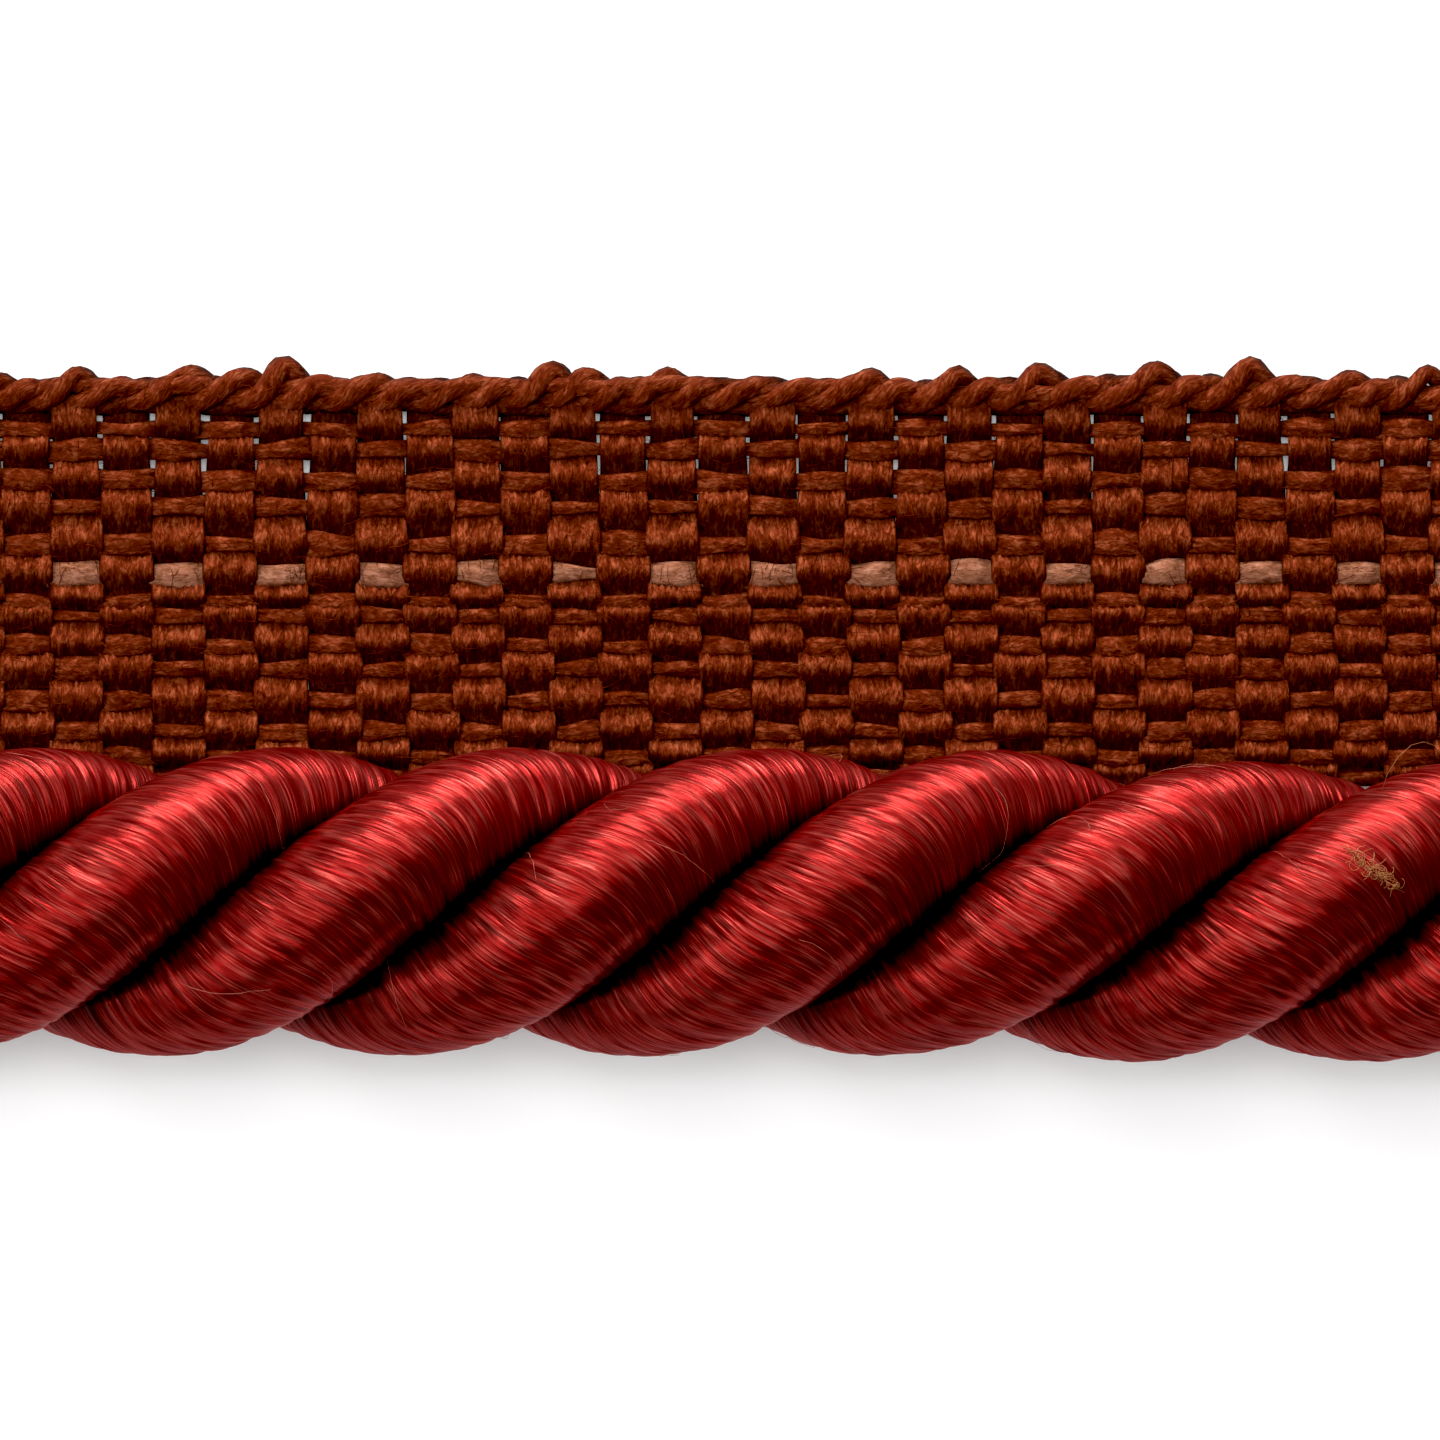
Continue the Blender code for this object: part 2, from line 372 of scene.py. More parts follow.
def make_ply(number, materials):
    """One ply as a grid whose rows follow its wrap strands, so that each strand is a true ridge."""
    random = np.random.default_rng(40 + number)
    section = ply_section()
    lead, way = wrap_lead(section)
    rows = int(LENGTH / STRAND_STEP) * ROWS_PER_STRAND + 1
    base = np.linspace(-HALF_LENGTH, HALF_LENGTH, rows)
    shear = ease(HALF_LENGTH - np.abs(base), 0, END_EASE)
    x = base[:, None] + shear[:, None] * lead[None, :]
    strand = np.arange(rows)[:, None] / ROWS_PER_STRAND + np.zeros_like(x)
    round_way = np.broadcast_to(way / MM, x.shape)
    # Strands wander sideways, gather into bunches, and each heaves on its own
    strand = strand + 0.7 * smooth_noise(random, strand / 14, round_way / 3.6)
    strand = strand + 0.3 * smooth_noise(random, strand / 2.5, round_way / 2.0)
    index = np.floor(strand)
    part = strand - index
    ridge = 1 - (2 * part - 1) ** 2
    loft = 0.65 + 0.35 * smooth_noise(random, index, round_way / 1.3)
    heave = smooth_noise(random, index, round_way / 1.5)
    bunch = smooth_noise(random, strand / 2.4, round_way / 2.2)
    sheaf = smooth_noise(random, strand / 8, round_way / 3.4)
    swell = smooth_noise(random, base[:, None] / (3.1 * MM) + 0 * x, round_way / 5)
    lag = smooth_noise(random, strand / 1.6, round_way / 2.6)
    height = 0.032 * ridge * loft + 0.022 * heave + 0.038 * lag
    height = (height + 0.022 * bunch + 0.026 * sheaf + 0.035 * swell) * MM
    radius = np.hypot(section[:, 0], section[:, 1])
    height = height * ease(radius, WALL_RADIUS, GROOVE_RADIUS)[None, :]
    # Painted shade: the colour is darkened at the bottom of a groove, further up the ply's far side, and in
    # the seams between strands, where light barely reaches; it also varies a little from strand to strand
    reach = smooth_noise(random, index, round_way / 1.1) + smooth_noise(random, strand / 4, round_way / 1.5)
    far_side = SHADED_SIDE * ease(-section[:, 1], 0.4 * MM, 2.2 * MM)
    depth = ease((radius - far_side)[None, :] + SHADE_JAG * reach, SHADE_LOW, SHADE_HIGH)
    shade = (0.08 + 0.92 * depth) * (0.58 + 0.42 * ridge) * (0.8 + 0.2 * heave)
    tangent = np.roll(section, -1, axis=0) - np.roll(section, 1, axis=0)
    normal = np.stack([tangent[:, 1], -tangent[:, 0]], axis=1)
    normal = normal / np.linalg.norm(normal, axis=1)[:, None]
    radial = section[None, :, 0] + height * normal[None, :, 0]
    across = section[None, :, 1] + height * normal[None, :, 1]
    first = math.pi / PLIES + number * 2 * math.pi / PLIES
    turn = first - 2 * math.pi * (x - GROOVE_X) / LAY
    full = cord_run(x, "fullness")
    y = CORD_Y + cord_run(x, "shift") + full * (radial * np.cos(turn) - across * np.sin(turn))
    z = CORD_Z + full * (radial * np.sin(turn) + across * np.cos(turn))
    grid = np.stack([x, y, np.maximum(z, 0.0)], axis=2)
    along = np.repeat(strand[:, :1] * 0.2, section.shape[0] + 1, axis=1)
    along[:, :-1] = strand * 0.2
    around = np.concatenate([round_way, round_way[:, -1:] + 0.3], axis=1)
    tubes = Tubes()
    tubes.add(grid, along, around, 0, 1)
    name = f"ply_{number + 1}_satin"
    piece = tubes.build(name, materials, np.concatenate([shade.ravel(), np.full(2, 0.6)]))
    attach(piece, "root")
    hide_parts(f"ply_{number + 1}")
    return grid, piece


def surface_of(pieces):
    """The pieces' faces as one tree, to drop fibres on."""
    points = []
    faces = []
    for piece in pieces:
        start = len(points)
        points += [vertex.co.copy() for vertex in piece.data.vertices]
        faces += [[start + corner for corner in face.vertices] for face in piece.data.polygons]
    return BVHTree.FromPolygons(points, faces)


def stray_paths(random, grid):
    """Single filaments that have worked loose: each crosses a ply at a slight angle to its strands."""
    rows, columns = grid.shape[:2]
    paths = []
    for _ in range(STRAYS_PER_PLY):
        span = random.uniform(0.10, 0.36) * columns
        column = random.uniform(0.15, 0.85) * columns - span / 2 + np.linspace(0, span, STRAY_POINTS)
        column = np.clip(column, 3, columns - 5)
        drift = random.normal(0, 14) + random.normal(0, 14) * np.linspace(-1, 1, STRAY_POINTS)
        row = random.uniform(0.04, 0.96) * rows + drift * np.linspace(0, 1, STRAY_POINTS)
        row = np.clip(row, 1, rows - 2).astype(int)
        low = column.astype(int)
        part = (column - low)[:, None]
        points = grid[row, low] * (1 - part) + grid[row, low + 1] * part
        out = points - np.array([0.0, CORD_Y, CORD_Z])
        out[:, 0] = 0
        out = out / np.linalg.norm(out, axis=1)[:, None]
        lift = random.uniform(0.02, 0.12) * np.sin(np.linspace(0, math.pi, STRAY_POINTS)) + 0.05
        paths.append(points + out * lift[:, None] * MM)
    return paths


def make_strays(grids, material):
    random = np.random.default_rng(71)
    tubes = Tubes()
    for grid in grids:
        for path in stray_paths(random, grid):
            path[:, 2] = np.maximum(path[:, 2], 0.03 * MM)
            add_hair(tubes, path, random.uniform(0.006, 0.011) * MM)
    piece = tubes.build("cord_strays", [material], np.ones(tubes.count))
    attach(piece, "root")


def make_tuft(pieces, material):
    """A matted wisp of lint caught on the cord, and one long hair that arches off it."""
    random = np.random.default_rng(83)
    surface = surface_of(pieces)
    tubes = Tubes()
    start = np.array(TUFT_START)
    run = np.array(TUFT_END) - start
    for number in range(TUFT_FIBRES):
        reach = random.beta(2.2, 1.8)
        at = start + run * reach + random.normal(0, 0.09 * MM, 2)
        heading = math.atan2(run[1], run[0]) + random.normal(0, 0.9)
        curl = random.normal(0, 9.0)
        step = random.uniform(0.03, 0.075) * MM
        lift = random.uniform(0.03, 0.22) * MM
        hair = []
        for i in range(TUFT_POINTS):
            hit = surface.ray_cast(Vector((at[0], at[1], 20 * MM)), Vector((0.0, 0.0, -1.0)))[0]
            hair.append([at[0], at[1], hit.z + lift * (0.4 + 0.6 * math.sin(math.pi * i / TUFT_POINTS))])
            heading += curl * step / MM + random.normal(0, 0.25)
            at = at + np.array([math.cos(heading), math.sin(heading)]) * step
        add_hair(tubes, np.array(hair), random.uniform(0.007, 0.012) * MM)
    add_hair(tubes, np.array(LONG_HAIR), 0.008 * MM)
    piece = tubes.build("cord_lint", [material], np.ones(tubes.count))
    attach(piece, "root")


def column_centre(column, y):
    """Where a bundle runs, for an array of places across the tape."""
    even = WEFT_START + WEFT_PITCH * (column + 0.5)
    places = [row["x"] for row in WEFT_WANDER]
    high = np.interp(even, places, [row["high"] for row in WEFT_WANDER])
    low = np.interp(even, places, [row["low"] for row in WEFT_WANDER])
    return even + low + (high - low) * ease(y, -1.0 * MM, 7.0 * MM)


def weft_is_over(column, row):
    return (column + row) % 2 == 1


def level_between(places, levels, at):
    """Height along a yarn that is at each level at each place, flat near it and steep between."""
    position = np.interp(at, places, np.arange(len(places)))
    low = np.clip(np.floor(position).astype(int), 0, len(places) - 2)
    t = position - low
    t = np.clip((t - 0.5) * 1.05 + 0.5, 0, 1)
    t = t * t * (3 - 2 * t)
    levels = np.array(levels)
    return levels[low] * (1 - t) + levels[low + 1] * t


def yarn_section(strands, half, thickness, groove):
    """A flattened yarn's section as (sideways, up) pairs: strands as ridges on top, a plain belly."""
    top = []
    for i in range(2 * strands + 1):
        side = -1 + i / strands
        crown = math.sqrt(max(0.0, 1 - abs(side) ** 2.6))
        up = thickness * (0.5 * crown)
        if i % 2 == 0 and 0 < i < 2 * strands:
            up -= groove
        top.append((side * half, up))
    belly = [(0.7 * half, -0.36 * thickness), (0.25 * half, -0.5 * thickness)]
    belly += [(-side, up) for side, up in reversed(belly)]
    return np.array(top + belly)


def make_weft(material):
    """The bundles across the tape: each passes over and under the warp threads in turn."""
    random = np.random.default_rng(7)
    rows = sorted(WARP_ROWS, key=lambda row: row["y"])
    order = [WARP_ROWS.index(row) for row in rows]
    places = [TAPE_LOW] + [row["y"] for row in rows] + [WEFT_TOP]
    first = math.ceil((-HALF_LENGTH - WEFT_START) / WEFT_PITCH - 0.2)
    last = math.floor((HALF_LENGTH - WEFT_START) / WEFT_PITCH + 0.2)
    tubes = Tubes()
    shades = []
    y = np.linspace(TAPE_LOW, WEFT_TOP, WEFT_STEPS)
    for column in range(first, last):
        levels = [HIGH_LEVEL if weft_is_over(column, row) else LOW_LEVEL for row in order]
        middle = (HIGH_LEVEL + LOW_LEVEL) / 2
        level = level_between(places, [middle] + levels + [LOW_LEVEL], y - WEFT_LEAN)
        narrow = ease(y, 4.4 * MM, 8.6 * MM)
        squeeze = 0.005 + 0.07 * random.uniform(0, 1, 6) ** 1.4
        squeeze = np.interp(y, np.linspace(4.0 * MM, WEFT_TOP, 6), squeeze)
        half = WEFT_PITCH * (0.56 - (squeeze + 0.06) * narrow)
        section = yarn_section(WEFT_STRANDS, 1.0, 0.42 * MM, 0.07 * MM)
        side = section[None, :, 0] * half[:, None]
        up = np.broadcast_to(section[None, :, 1], side.shape).copy()
        position = y[:, None] / MM + 0 * side
        spread = section[None, :, 0] * WEFT_STRANDS / 1.0 + 0 * side
        inside = 1 - section[None, :, 0] ** 2
        side = side + 0.05 * MM * inside * smooth_noise(random, spread / 1.2, position / 1.1)
        # Painted light and shade: the bundle is lit where it rises towards +Y and dark where it dives under
        # the next warp, with a jagged edge, and darker in the shade under the selvedge
        lit = level_between(places, [middle] + levels + [LOW_LEVEL], y - WEFT_LEAN - WEFT_SHADE_SHIFT)
        rough = 0.06 * smooth_noise(random, spread, position / 0.8)
        rough = rough + 0.035 * smooth_noise(random, spread, position / 0.35)
        up = up + rough * MM * (up > 0)
        jag = smooth_noise(random, spread, position / 1.1)
        jag = jag + 0.6 * smooth_noise(random, spread / 3, position / 1.4)
        painted_light = ease(lit[:, None] + WEFT_JAG * jag, *WEFT_SHADE)
        painted_light = painted_light * (1 - 0.45 * ease(y, 8.2 * MM, 9.2 * MM))[:, None]
        shades += [(TAPE_DIM + (1 - TAPE_DIM) * painted_light).ravel(), np.full(2, 0.5)]
        lean = 0.05 * MM * smooth_noise(random, position / 3.0, 0 * position)
        centre = column_centre(column, y)[:, None] + random.uniform(-0.03, 0.03) * MM
        x = np.clip(centre + side + lean, -HALF_LENGTH, HALF_LENGTH)
        grid = np.stack([x, y[:, None] + 0 * side, level[:, None] + up], axis=2)
        along = np.concatenate([position, position[:, :1]], axis=1)
        across = np.concatenate([side, side[:, :1]], axis=1) / MM + column * 3.7
        tubes.add(grid, along, across)
    return tubes.build("tape_weft", [material], np.concatenate(shades))


def make_warp(materials):
    """The threads along the tape."""
    random = np.random.default_rng(19)
    tubes = Tubes()
    shades = []
    x = np.linspace(-HALF_LENGTH, HALF_LENGTH, WARP_STEPS)
    first = math.floor((-HALF_LENGTH - WEFT_START) / WEFT_PITCH) - 1
    last = math.ceil((HALF_LENGTH - WEFT_START) / WEFT_PITCH) + 1
    for number, row in enumerate(WARP_ROWS):
        places = [column_centre(column, row["y"]) for column in range(first, last + 1)]
        levels = [
            LOW_LEVEL if weft_is_over(column, number) else HIGH_LEVEL for column in range(first, last + 1)
        ]
        level = level_between(places, levels, x)
        section = yarn_section(WARP_STRANDS, 1.0, 0.29 * MM, 0.05 * MM)
        position = x[:, None] / MM + 0 * section[None, :, 0]
        fat = 1 + 0.38 * smooth_noise(random, position / 1.5, 0 * position)
        side = section[None, :, 0] * row["half"] * fat
        spread = section[None, :, 0] * WARP_STRANDS + 0 * side
        up = section[None, :, 1] + 0.05 * MM * smooth_noise(random, spread, position / 0.9)
        up = up + 0.03 * MM * smooth_noise(random, spread, position / 0.4)
        wave = 0.07 * MM * smooth_noise(random, position / 1.6, 0 * position)
        twist = 0.05 * MM * smooth_noise(random, spread, position / 1.0)
        y = row["y"] + wave + side + twist
        grid = np.stack([x[:, None] + 0 * side, y, level[:, None] + up], axis=2)
        # Painted shade: the thread is darker where it lies low and lighter along its edge towards +Y
        painted_light = ease(level[:, None] + up, *WARP_SHADE) * (0.72 + 0.28 * section[None, :, 0])
        shades += [(TAPE_DIM + (1 - TAPE_DIM) * painted_light).ravel(), np.full(2, 0.5)]
        along = np.concatenate([position, position[:, :1]], axis=1)
        across = np.concatenate([side, side[:, :1]], axis=1) / MM + number * 5.3
        tubes.add(grid, along, across, 1 if number == PALE_ROW else 0)
    return tubes.build("tape_warp", materials, np.concatenate(shades))


def twisted_yarn(random, centre, radius, fat, strands, twist):
    """A round spun yarn along a path of points: its strands are ridges that wind round it."""
    steps = np.linalg.norm(np.diff(centre, axis=0), axis=1)
    way = np.concatenate([[0], np.cumsum(steps)])
    tangent = np.gradient(centre, axis=0)
    tangent = tangent / np.linalg.norm(tangent, axis=1)[:, None]
    side = np.cross(tangent, np.array([0.0, 0.0, 1.0]))
    side = side / np.linalg.norm(side, axis=1)[:, None]
    up = np.cross(side, tangent)
    angle = np.linspace(0, 2 * math.pi, YARN_COLUMNS, endpoint=False)
    lag = 2 * math.pi * way[:, None] / twist
    swell = 1 - 0.14 * (1 - np.abs(np.cos(strands * (angle[None, :] - lag) / 2)))
    spread = np.abs(angle[None, :] - math.pi) * strands / 2 + 0 * lag
    swell = swell + 0.07 * smooth_noise(random, spread, way[:, None] / (0.3 * MM) + 0 * spread)
    reach = radius * fat[:, None] * swell
    grid = (
        centre[:, None, :]
        + side[:, None, :] * (reach * np.cos(angle))[:, :, None]
        + up[:, None, :] * (reach * np.sin(angle))[:, :, None]
    )
    grid[:, :, 0] = np.clip(grid[:, :, 0], -HALF_LENGTH, HALF_LENGTH)
    grid[:, :, 2] = np.maximum(grid[:, :, 2], 0.0)
    full_angle = np.append(angle, 2 * math.pi)
    lead = way[:, None] / MM + 0 * full_angle[None, :]
    around = (full_angle[None, :] - lag) * radius / MM
    return grid, lead, around


def make_selvedge(material):
    """Two edge yarns twisted round each other, each rising in turn to a loop of the outline."""
    random = np.random.default_rng(23)
    x = np.linspace(-HALF_LENGTH, HALF_LENGTH, 520)
    loops = sorted(
        (loop["x"] + repeat * LOOP_REPEAT, loop["rise"]) for repeat in (-1, 0, 1) for loop in LOOPS
    )
    gaps = [(low[0], high[0]) for low, high in zip(loops, loops[1:]) if high[0] - low[0] > LONG_GAP]
    loops = sorted(loops + [((low + high) / 2, random.uniform(0.10, 0.24) * MM) for low, high in gaps])
    places = [place for place, _ in loops]
    rise = np.interp(x, places, [height for _, height in loops])
    phase = math.pi * (np.interp(x, places, np.arange(len(places))) + 0.5)
    tubes = Tubes()
    shades = []
    for turn in (0.0, math.pi):
        sway = np.sin(phase + turn)
        high = SELVEDGE_Y + rise - EDGE_RADIUS - EDGE_Y
        y = EDGE_Y + np.where(sway > 0, high * sway, EDGE_DIP * sway)
        z = 0.48 * MM + 0.25 * MM * np.cos(phase + turn)
        wander = 0.05 * MM * smooth_noise(random, x / (0.7 * MM), 0 * x)
        fat = 1.03 + 0.20 * smooth_noise(random, x / (1.3 * MM), 0 * x)
        centre = np.stack([x, y + wander, z], axis=1)
        yarn = twisted_yarn(random, centre, EDGE_RADIUS, fat, 5, 4.2 * MM)
        tubes.add(*yarn)
        # Painted shade: the edge yarns are darker the lower they lie
        shades += [0.12 + 0.88 * ease(yarn[0][:, :, 2], *EDGE_SHADE).ravel(), np.full(2, 0.5)]
    # One filler yarn shows between the loops, the other lies in shade below them
    for filler in FILLERS:
        wander = filler["sway"] * smooth_noise(random, x / (1.2 * MM), 0 * x)
        z = filler["z"] + filler["heave"] * smooth_noise(random, x / (1.0 * MM), 0 * x)
        fat = 1 + 0.15 * smooth_noise(random, x / (1.1 * MM), 0 * x)
        centre = np.stack([x, filler["y"] + wander, z], axis=1)
        yarn = twisted_yarn(random, centre, filler["radius"], fat, 4, 3.1 * MM)
        tubes.add(*yarn)
        # Painted shade, as on the edge yarns
        shades += [0.12 + 0.88 * ease(yarn[0][:, :, 2], *EDGE_SHADE).ravel(), np.full(2, 0.2)]
    return tubes.build("tape_selvedge", [material], np.concatenate(shades))


def add_hair(tubes, points, radius):
    """One fibre as a three-sided tube along its points."""
    tangent = np.gradient(points, axis=0)
    tangent = tangent / np.linalg.norm(tangent, axis=1)[:, None]
    side = np.cross(tangent, np.array([0.0, 0.0, 1.0]))
    side = side / np.maximum(np.linalg.norm(side, axis=1), 1e-9)[:, None]
    up = np.cross(side, tangent)
    angle = np.array([math.pi / 2, math.pi * 7 / 6, math.pi * 11 / 6])
    reach = radius * np.linspace(1.0, 0.7, len(points))[:, None]
    grid = (
        points[:, None, :]
        + side[:, None, :] * (reach * np.cos(angle))[:, :, None]
        + up[:, None, :] * (reach * np.sin(angle))[:, :, None]
    )
    grid[:, :, 0] = np.clip(grid[:, :, 0], -HALF_LENGTH, HALF_LENGTH)
    along = np.arange(len(points))[:, None] * 0.1 + np.zeros((1, 4))
    around = np.zeros((len(points), 1)) + np.arange(4)[None, :] * 0.02
    tubes.add(grid, along, around)


def make_fuzz(pieces, material):
    """Loose fibre ends that stand off the yarns, laid over the woven surface."""
    random = np.random.default_rng(31)
    surface = surface_of(pieces)
    tubes = Tubes()
    down = Vector((0.0, 0.0, -1.0))
    for _ in range(FUZZ_COUNT):
        at = np.array([random.uniform(-HALF_LENGTH, HALF_LENGTH), random.uniform(-2.0, 10.6) * MM])
        along_weft = random.uniform() < 0.55
        heading = (math.pi / 2 if along_weft else 0.0) + random.normal(0, 0.32)
        bend = random.normal(0, 0.7)
        length = random.uniform(0.3, 1.0) ** 1.5 * 1.1 * MM
        lift = random.uniform(0.02, 0.12) * MM
        radius = random.uniform(0.008, 0.018) * MM
        places = []
        for i in range(FUZZ_POINTS):
            hit = surface.ray_cast(Vector((at[0], at[1], 5 * MM)), down)[0]
            if hit is None:
                break
            places.append([at[0], at[1], hit.z])
            turn = heading + bend * i / FUZZ_POINTS
            at = at + np.array([math.cos(turn), math.sin(turn)]) * length / (FUZZ_POINTS - 1)
        if len(places) == FUZZ_POINTS:
            bow = np.sin(np.linspace(0, math.pi, FUZZ_POINTS)) * lift + 0.01 * MM
            hair = np.array(places)
            hair[:, 2] += bow
            add_hair(tubes, hair, radius)
    return tubes.build("tape_fuzz", [material], np.ones(tubes.count))


def new_material(name):
    material = bpy.data.materials.new(name)
    material.use_nodes = True
    tree = material.node_tree
    return material, tree, tree.nodes["Principled BSDF"]


def strand_noise(tree, across_scale, along_scale, detail=3.0, swap=False, distortion=0.0):
    """Noise in the strand coordinates, drawn out along the strands."""
    coordinates = tree.nodes.new("ShaderNodeUVMap")
    coordinates.uv_map = "strand"
    stretch = tree.nodes.new("ShaderNodeVectorMath")
    stretch.operation = "MULTIPLY"
    scales = (across_scale, along_scale, 1.0)
    stretch.inputs[1].default_value = (scales[1], scales[0], 1.0) if swap else scales
    tree.links.new(coordinates.outputs["UV"], stretch.inputs[0])
    noise = tree.nodes.new("ShaderNodeTexNoise")
    noise.inputs["Scale"].default_value = 1.0
    noise.inputs["Detail"].default_value = detail
    noise.inputs["Distortion"].default_value = distortion
    tree.links.new(stretch.outputs[0], noise.inputs["Vector"])
    return noise.outputs["Fac"]


def colour_ramp(tree, factor, stops):
    ramp = tree.nodes.new("ShaderNodeValToRGB")
    elements = ramp.color_ramp.elements
    while len(elements) < len(stops):
        elements.new(0.5)
    for element, (place, colour) in zip(elements, stops):
        element.position = place
        element.color = (*colour, 1.0)
    tree.links.new(factor, ramp.inputs["Fac"])
    return ramp.outputs["Color"]


def dimmed(tree, colour):
    """Darken a colour by the painted shade stored on the mesh."""
    shade = tree.nodes.new("ShaderNodeAttribute")
    shade.attribute_name = "shade"
    dim = tree.nodes.new("ShaderNodeMix")
    dim.data_type = "RGBA"
    dim.blend_type = "MULTIPLY"
    dim.inputs["Factor"].default_value = 1.0
    tree.links.new(colour, dim.inputs[6])
    tree.links.new(shade.outputs["Fac"], dim.inputs[7])
    return dim.outputs[2]


def satin_material():
    """Red rayon filaments lying side by side across the ply."""
    material, tree, shader = new_material("cord_satin")
    fine = strand_noise(tree, 16.0, 0.30, 3.0)
    dashes = strand_noise(tree, 5.0, 0.45, 2.0)
    both = tree.nodes.new("ShaderNodeMix")
    both.data_type = "FLOAT"
    both.inputs["Factor"].default_value = 0.4
    tree.links.new(fine, both.inputs[2])
    tree.links.new(dashes, both.inputs[3])
    colour = colour_ramp(
        tree,
        both.outputs[0],
        ((0.34, (0.11, 0.0016, 0.0018)), (0.5, (0.20, 0.0080, 0.0075)), (0.66, (0.34, 0.054, 0.043))),
    )
    # The satin's colour is darkened by the painted shade on the mesh
    tree.links.new(dimmed(tree, colour), shader.inputs["Base Color"])
    bump = tree.nodes.new("ShaderNodeBump")
    bump.inputs["Strength"].default_value = 0.8
    bump.inputs["Distance"].default_value = 0.05 * MM
    tree.links.new(both.outputs[0], bump.inputs["Height"])
    tree.links.new(bump.outputs["Normal"], shader.inputs["Normal"])
    tangent = tree.nodes.new("ShaderNodeTangent")
    tangent.direction_type = "UV_MAP"
    tangent.uv_map = "strand"
    tree.links.new(tangent.outputs["Tangent"], shader.inputs["Tangent"])
    shader.inputs["Anisotropic"].default_value = 0.8
    shader.inputs["Roughness"].default_value = 0.28
    shader.inputs["Metallic"].default_value = 0.6
    shader.inputs["Specular IOR Level"].default_value = 0.15
    shader.inputs["Specular Tint"].default_value = (1.0, 0.3, 0.26, 1.0)
    return material


def stray_material():
    material, tree, shader = new_material("cord_stray")
    glint = strand_noise(tree, 5.0, 5.0)
    colour = colour_ramp(tree, glint, ((0.35, (0.20, 0.020, 0.012)), (0.7, (0.60, 0.17, 0.10))))
    tree.links.new(colour, shader.inputs["Base Color"])
    shader.inputs["Roughness"].default_value = 0.35
    return material


def lint_material():
    material, tree, shader = new_material("cord_lint")
    glint = strand_noise(tree, 7.0, 7.0)
    colour = colour_ramp(tree, glint, ((0.35, (0.22, 0.060, 0.010)), (0.7, (0.50, 0.21, 0.06))))
    tree.links.new(colour, shader.inputs["Base Color"])
    shader.inputs["Roughness"].default_value = 0.5
    return material


def cut_material():
    """The cut ends of the filaments."""
    material, tree, shader = new_material("cord_cut")
    place = tree.nodes.new("ShaderNodeTexCoord")
    cells = tree.nodes.new("ShaderNodeTexVoronoi")
    cells.inputs["Scale"].default_value = 9000.0
    tree.links.new(place.outputs["Object"], cells.inputs["Vector"])
    colour = colour_ramp(
        tree, cells.outputs["Distance"], ((0.1, (0.30, 0.016, 0.015)), (0.7, (0.07, 0.002, 0.002)))
    )
    tree.links.new(colour, shader.inputs["Base Color"])
    bump = tree.nodes.new("ShaderNodeBump")
    bump.inputs["Strength"].default_value = 0.8
    bump.inputs["Distance"].default_value = 0.06 * MM
    tree.links.new(cells.outputs["Distance"], bump.inputs["Height"])
    tree.links.new(bump.outputs["Normal"], shader.inputs["Normal"])
    shader.inputs["Roughness"].default_value = 0.8
    shader.inputs["Specular IOR Level"].default_value = 0.1
    shader.inputs["Specular Tint"].default_value = (1.0, 0.3, 0.26, 1.0)
    return material


def yarn_material(name, dark, mid, light):
    """Soft spun yarn: fibres drawn out along it, mottled from dark to light, then darkened by the painted
    shade on the mesh.
    """
    material, tree, shader = new_material(name)
    fibres = strand_noise(tree, 10.0, 4.2, 5.0, swap=True, distortion=0.9)
    patches = strand_noise(tree, 3.0, 2.0, 2.0, swap=True)
    blend = tree.nodes.new("ShaderNodeMix")
    blend.data_type = "FLOAT"
    blend.inputs["Factor"].default_value = 0.4
    tree.links.new(fibres, blend.inputs[2])
    tree.links.new(patches, blend.inputs[3])
    colour = colour_ramp(tree, blend.outputs[0], ((0.34, dark), (0.5, mid), (0.66, light)))
    tree.links.new(dimmed(tree, colour), shader.inputs["Base Color"])
    bump = tree.nodes.new("ShaderNodeBump")
    bump.inputs["Strength"].default_value = 1.0
    bump.inputs["Distance"].default_value = 0.08 * MM
    tree.links.new(fibres, bump.inputs["Height"])
    tree.links.new(bump.outputs["Normal"], shader.inputs["Normal"])
    shader.inputs["Roughness"].default_value = 0.62
    shader.inputs["Specular IOR Level"].default_value = 0.05
    shader.inputs["Specular Tint"].default_value = (1.0, 0.45, 0.2, 1.0)
    return material


def dress_tape():
    dark = yarn_material(
        "tape_weft_yarn", (0.042, 0.0038, 0.0018), (0.120, 0.0175, 0.0052), (0.29, 0.068, 0.027)
    )
    brown = yarn_material(
        "tape_warp_yarn", (0.048, 0.0044, 0.0016), (0.122, 0.0170, 0.0048), (0.28, 0.066, 0.027)
    )
    loose = yarn_material(
        "tape_fuzz_yarn", (0.06, 0.0065, 0.0009), (0.16, 0.0240, 0.0045), (0.30, 0.070, 0.024)
    )
    pale = yarn_material(
        "tape_pale_yarn", (0.14, 0.046, 0.021), (0.29, 0.108, 0.058), (0.42, 0.190, 0.122)
    )
    weft = make_weft(dark)
    warp = make_warp([brown, pale])
    edge = yarn_material(
        "tape_edge_yarn", (0.036, 0.0032, 0.0015), (0.098, 0.0135, 0.0038), (0.22, 0.053, 0.022)
    )
    selvedge = make_selvedge(edge)
    fuzz = make_fuzz((weft, warp, selvedge), loose)
    for piece in (weft, warp, selvedge, fuzz):
        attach(piece, "root")
        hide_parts("tape")


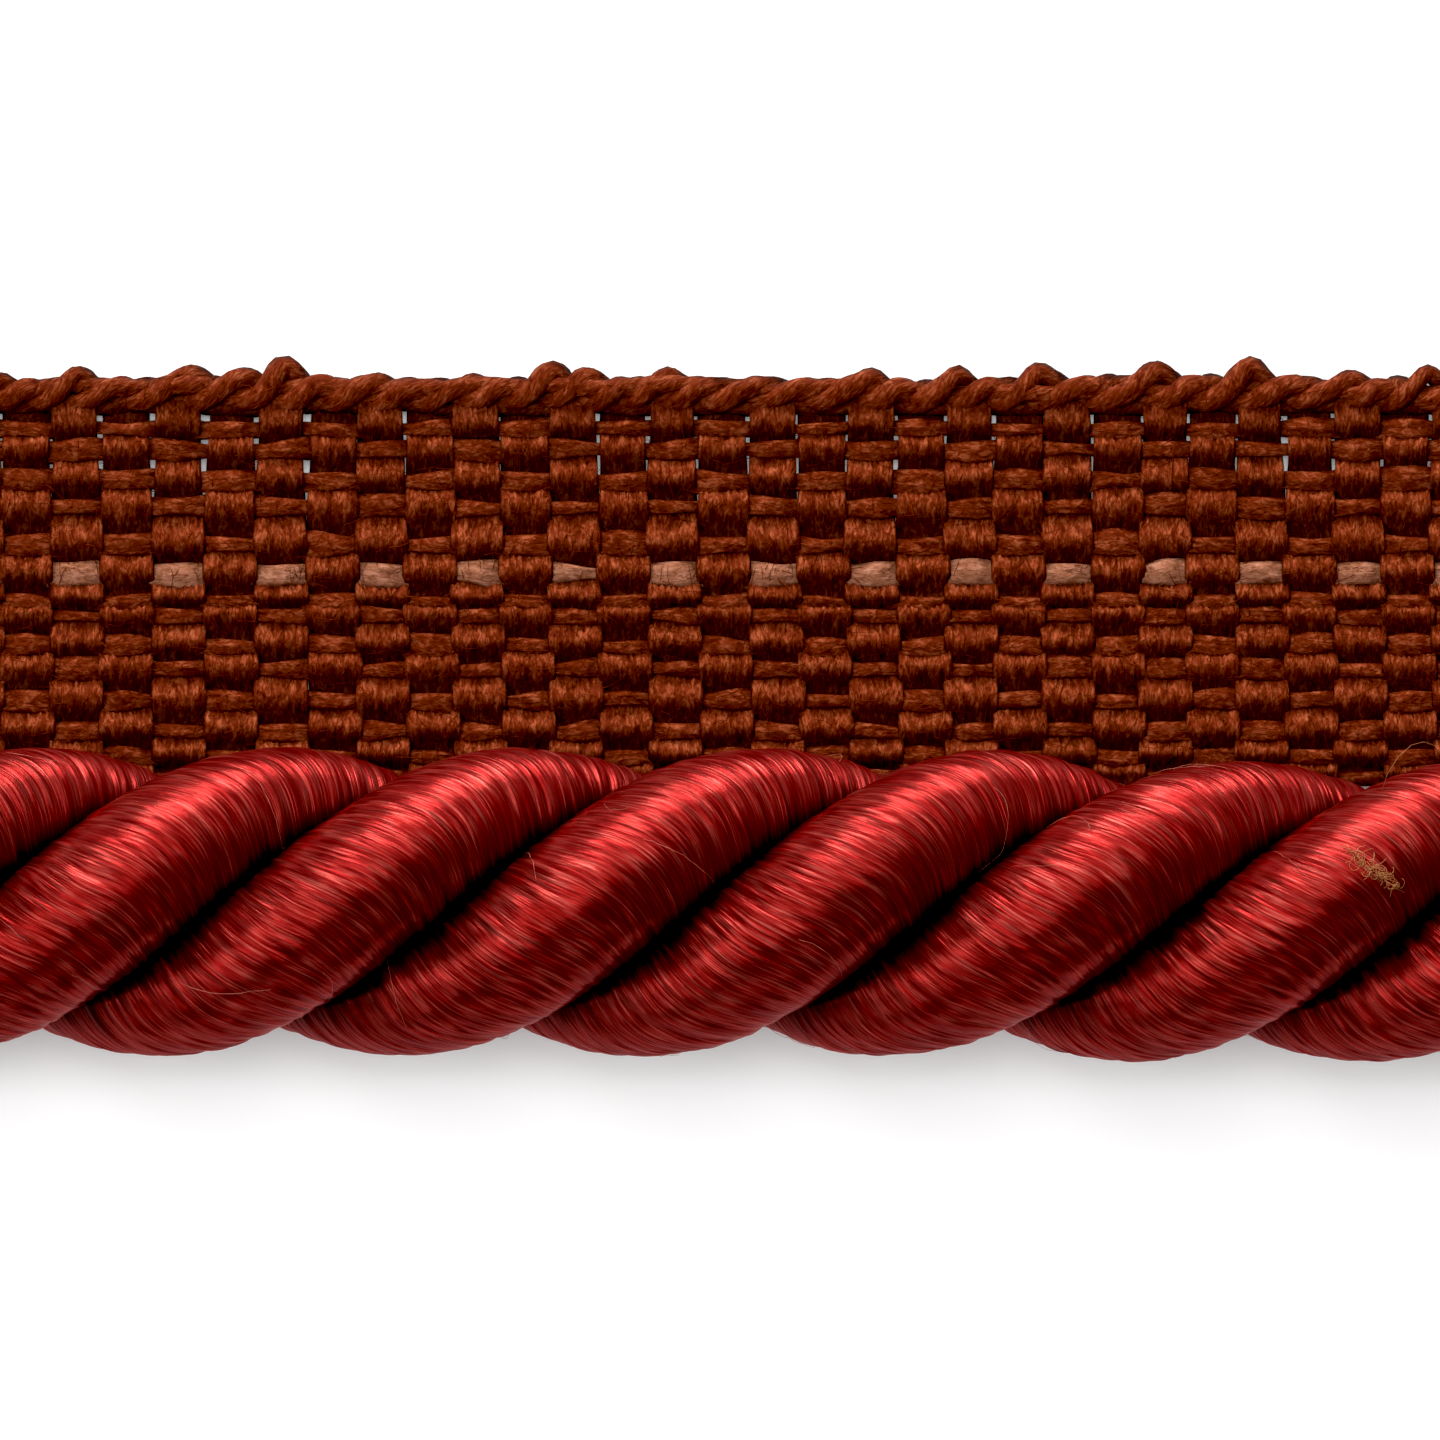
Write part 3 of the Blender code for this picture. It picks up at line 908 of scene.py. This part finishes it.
def make_floor():
    mesh = bpy.data.meshes.new("floor")
    size = 2.0
    corners = [(-size, -size, 0), (size, -size, 0), (size, size, 0), (-size, size, 0)]
    mesh.from_pydata(corners, [], [(0, 1, 2, 3)])
    floor = bpy.data.objects.new("floor", mesh)
    floor.location.z = -0.02 * MM
    bpy.context.scene.collection.objects.link(floor)
    material, _, shader = new_material("floor_white")
    shader.inputs["Base Color"].default_value = (0.9, 0.9, 0.9, 1.0)
    shader.inputs["Roughness"].default_value = 0.9
    shader.inputs["Specular IOR Level"].default_value = 0.2
    shader.inputs["Emission Color"].default_value = (1.0, 1.0, 1.0, 1.0)
    shader.inputs["Emission Strength"].default_value = FLOOR_GLOW
    mesh.materials.append(material)


def area_light(name, elevation, azimuth, distance, size, power, colour=(1.0, 1.0, 1.0)):
    """A soft box aimed at the middle of the trim; azimuth 0 stands on the +Y side."""
    data = bpy.data.lights.new(name, "AREA")
    data.shape = "RECTANGLE"
    data.size, data.size_y = size
    data.energy = power
    data.color = colour
    light = bpy.data.objects.new(name, data)
    raised = math.radians(elevation)
    turned = math.radians(azimuth)
    way = Vector(
        (math.cos(raised) * math.sin(turned), math.cos(raised) * math.cos(turned), math.sin(raised))
    )
    light.location = way * distance
    light.rotation_euler = way.to_track_quat("Z", "Y").to_euler()
    bpy.context.scene.collection.objects.link(light)


def make_lights():
    area_light("top_box", 90.0, 0.0, 0.7, (0.26, 0.26), 0.7)
    area_light("high_box", 72.0, 0.0, 0.7, (0.30, 0.30), 1.6)
    area_light("key_box", 45.0, 0.0, 0.7, (0.34, 0.34), 2.0)
    area_light("low_box", 10.0, 0.0, 0.7, (0.30, 0.26), 10.0)
    area_light("left_box", 52.0, -90.0, 0.7, (0.30, 0.30), 2.7)
    area_light("back_box", 45.0, -135.0, 0.7, (0.26, 0.26), 0.7)
    area_light("front_box", 25.0, 180.0, 0.7, (0.26, 0.26), 0.45)
    world = bpy.data.worlds.new("studio")
    bpy.context.scene.world = world
    world.use_nodes = True
    world.node_tree.nodes["Background"].inputs["Color"].default_value = (0.01, 0.01, 0.01, 1.0)
    world.node_tree.nodes["Background"].inputs["Strength"].default_value = 1.0
    view = bpy.context.scene.view_settings
    view.view_transform = "Standard"
    view.use_curve_mapping = True
    view.curve_mapping.black_level = (BLACK_LEVEL, BLACK_LEVEL, BLACK_LEVEL)
    view.curve_mapping.update()


def main():
    make_camera()
    make_floor()
    make_lights()
    satin = satin_material()
    cut = cut_material()
    plies = [make_ply(number, [satin, cut]) for number in range(PLIES)]
    make_strays([grid for grid, _ in plies], stray_material())
    make_tuft([piece for _, piece in plies], lint_material())
    dress_tape()


main()
